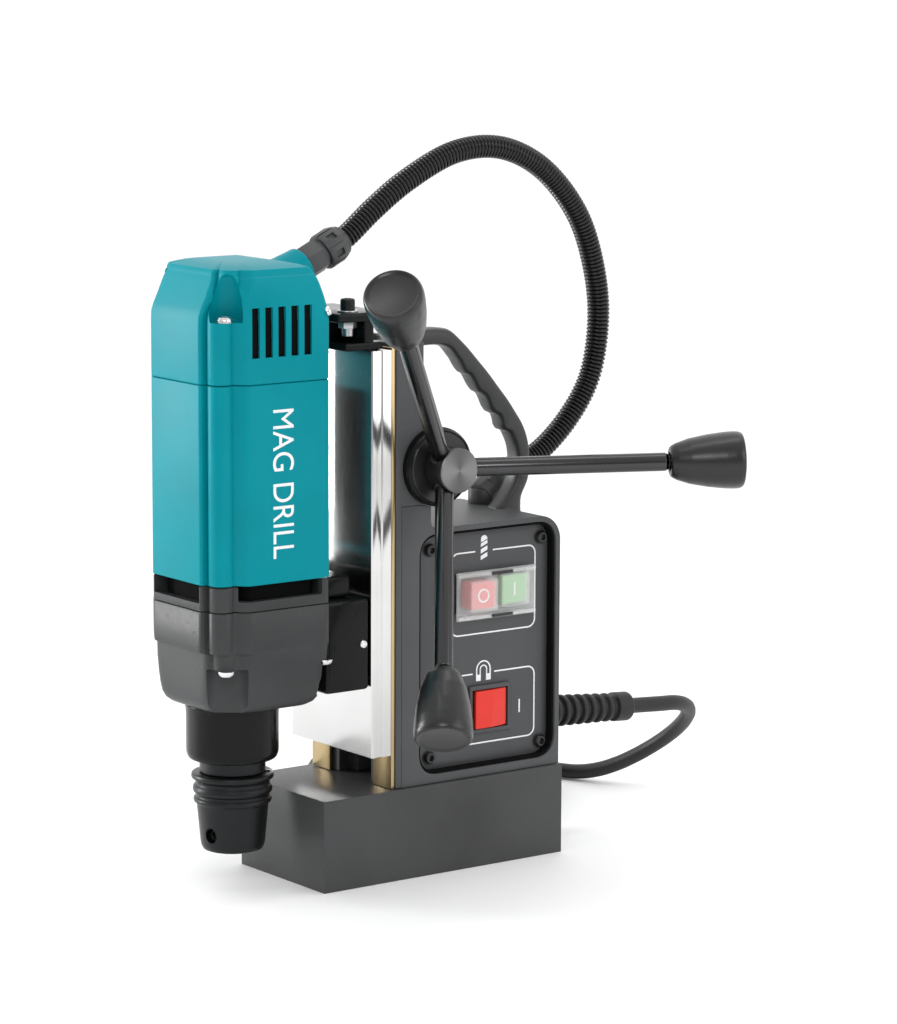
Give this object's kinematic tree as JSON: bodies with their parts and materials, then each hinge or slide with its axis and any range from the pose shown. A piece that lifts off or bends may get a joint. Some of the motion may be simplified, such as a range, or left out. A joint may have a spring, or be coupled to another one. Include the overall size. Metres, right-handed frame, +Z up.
{
  "type": "magnetic drill press",
  "caption": "Portable magnetic drill press: electromagnet base, column with control housing, and a motor carriage on a dovetail fed by a capstan with arms.",
  "frame": {"origin": "middle of the magnet's bottom face, the face that clamps to the work", "axes": "+Z up along the column and spindle, -Y towards the spindle and motor, +X towards the control panel and capstan"},
  "size_m": [0.3311, 0.3707, 0.3958],
  "materials": {
    "magnet_iron": "black satin paint over milled steel, with a fine texture",
    "copper_winding": "enamelled copper wire",
    "black_casting": "cast aluminium with a textured black powder coat",
    "black_plastic": "moulded glass-filled nylon, fine grain",
    "dark_panel": "matte dark grey panel with thin white line work",
    "knob_plastic": "smooth black phenolic",
    "teal_plastic": "teal moulded nylon, semi-gloss",
    "ground_steel": "ground and polished steel",
    "dark_steel": "polished black oxide rod",
    "cut_steel": "machined gear steel",
    "brushed_cap": "turned face with fine circular lines",
    "black_oxide": "satin black oxide",
    "gib_brass": "machined brass",
    "black_rubber": "satin black rubber",
    "conduit_plastic": "corrugated black nylon",
    "clear_cover": "hazy clear silicone",
    "red_plastic": "glossy red",
    "green_plastic": "glossy green",
    "circuit_board": "solder-masked glass epoxy"
  },
  "bodies": {
    "stand": {"magnet_base": "magnet_iron", "magnet_coil": "copper_winding", "column": "black_casting", "gib_right": "gib_brass", "gib_left": "gib_brass", "shaft_bush_right": "gib_brass", "shaft_bush_left": "gib_brass", "control_housing": "black_casting", "carry_handle": "black_plastic", "control_panel": "dark_panel", "panel_screw_1": "black_oxide", "panel_screw_2": "black_oxide", "panel_screw_3": "black_oxide", "panel_screw_4": "black_oxide", "switch_block": "black_plastic", "switch_cover": "clear_cover", "rocker_bezel": "black_plastic", "control_board": "circuit_board", "conduit_gland_stand": "black_plastic", "conduit": "conduit_plastic", "cord_sleeve": "black_rubber", "mains_cord_run": "black_rubber", "mains_cord_coil": "black_rubber", "mains_cord_lead": "black_rubber", "mains_plug": "black_rubber"},
    "carriage": {"slide": "ground_steel", "rack": "cut_steel", "gear_case": "black_casting", "bearing_plate": "black_casting", "vent_ring": "black_plastic", "motor_housing": "teal_plastic", "stator": "cut_steel", "armature_bearing_lower": "ground_steel", "armature_bearing_upper": "ground_steel", "top_cover": "teal_plastic", "conduit_gland_motor": "black_plastic", "top_bracket": "black_casting", "spindle_neck": "black_casting", "spindle_bearing": "ground_steel"},
    "capstan": {"pinion_shaft": "cut_steel", "capstan_pinion": "cut_steel", "hub": "black_oxide", "hub_cap": "brushed_cap", "arm_1": "dark_steel", "arm_2": "dark_steel", "arm_3": "dark_steel", "knob_1": "knob_plastic", "knob_2": "knob_plastic", "knob_3": "knob_plastic"},
    "armature": {"armature_shaft": "cut_steel", "armature_core": "copper_winding", "commutator": "copper_winding", "cooling_fan": "black_plastic"},
    "layshaft": {"layshaft": "cut_steel"},
    "spindle": {"spindle": "cut_steel", "spindle_gear": "cut_steel", "arbor": "black_oxide"},
    "stop_button": {"stop_button": "red_plastic"},
    "start_button": {"start_button": "green_plastic"},
    "magnet_rocker": {"magnet_rocker": "red_plastic"}
  },
  "joints": [
    {"name": "feed_slide", "type": "slide", "parent": "stand", "child": "carriage", "axis": [0, 0, 1], "range_m": [-0.015, 0.14], "deforming": ["conduit"]},
    {"name": "capstan_turn", "type": "hinge", "parent": "stand", "child": "capstan", "pos_m": [0, -0.0064, 0.2237], "axis": [1, 0, 0], "range_deg": [-764, 82]},
    {"name": "armature_spin", "type": "hinge", "parent": "carriage", "child": "armature", "pos_m": [0, -0.1117, 0.15], "axis": [0, 0, 1], "continuous": true},
    {"name": "layshaft_spin", "type": "hinge", "parent": "carriage", "child": "layshaft", "pos_m": [0, -0.0857, 0.15], "axis": [0, 0, 1], "continuous": true},
    {"name": "spindle_spin", "type": "hinge", "parent": "carriage", "child": "spindle", "pos_m": [0, -0.1117, 0.15], "axis": [0, 0, 1], "continuous": true},
    {"name": "stop_press", "type": "slide", "parent": "stand", "child": "stop_button", "axis": [-1, 0, 0], "range_m": [0, 0.003], "stiffness_N_per_m": 300, "springref_m": -0.0005},
    {"name": "start_press", "type": "slide", "parent": "stand", "child": "start_button", "axis": [-1, 0, 0], "range_m": [0, 0.003], "stiffness_N_per_m": 300, "springref_m": -0.0005},
    {"name": "magnet_switch", "type": "hinge", "parent": "stand", "child": "magnet_rocker", "pos_m": [0.031, 0.0343, 0.086], "axis": [0, 0, 1], "range_deg": [-12, 0]}
  ],
  "couplings": [
    {"joint": "capstan_turn", "follows": "feed_slide", "rad_per_m": -95.238},
    {"joint": "layshaft_spin", "follows": "armature_spin", "ratio": -0.21212},
    {"joint": "spindle_spin", "follows": "armature_spin", "ratio": 0.070707}
  ]
}
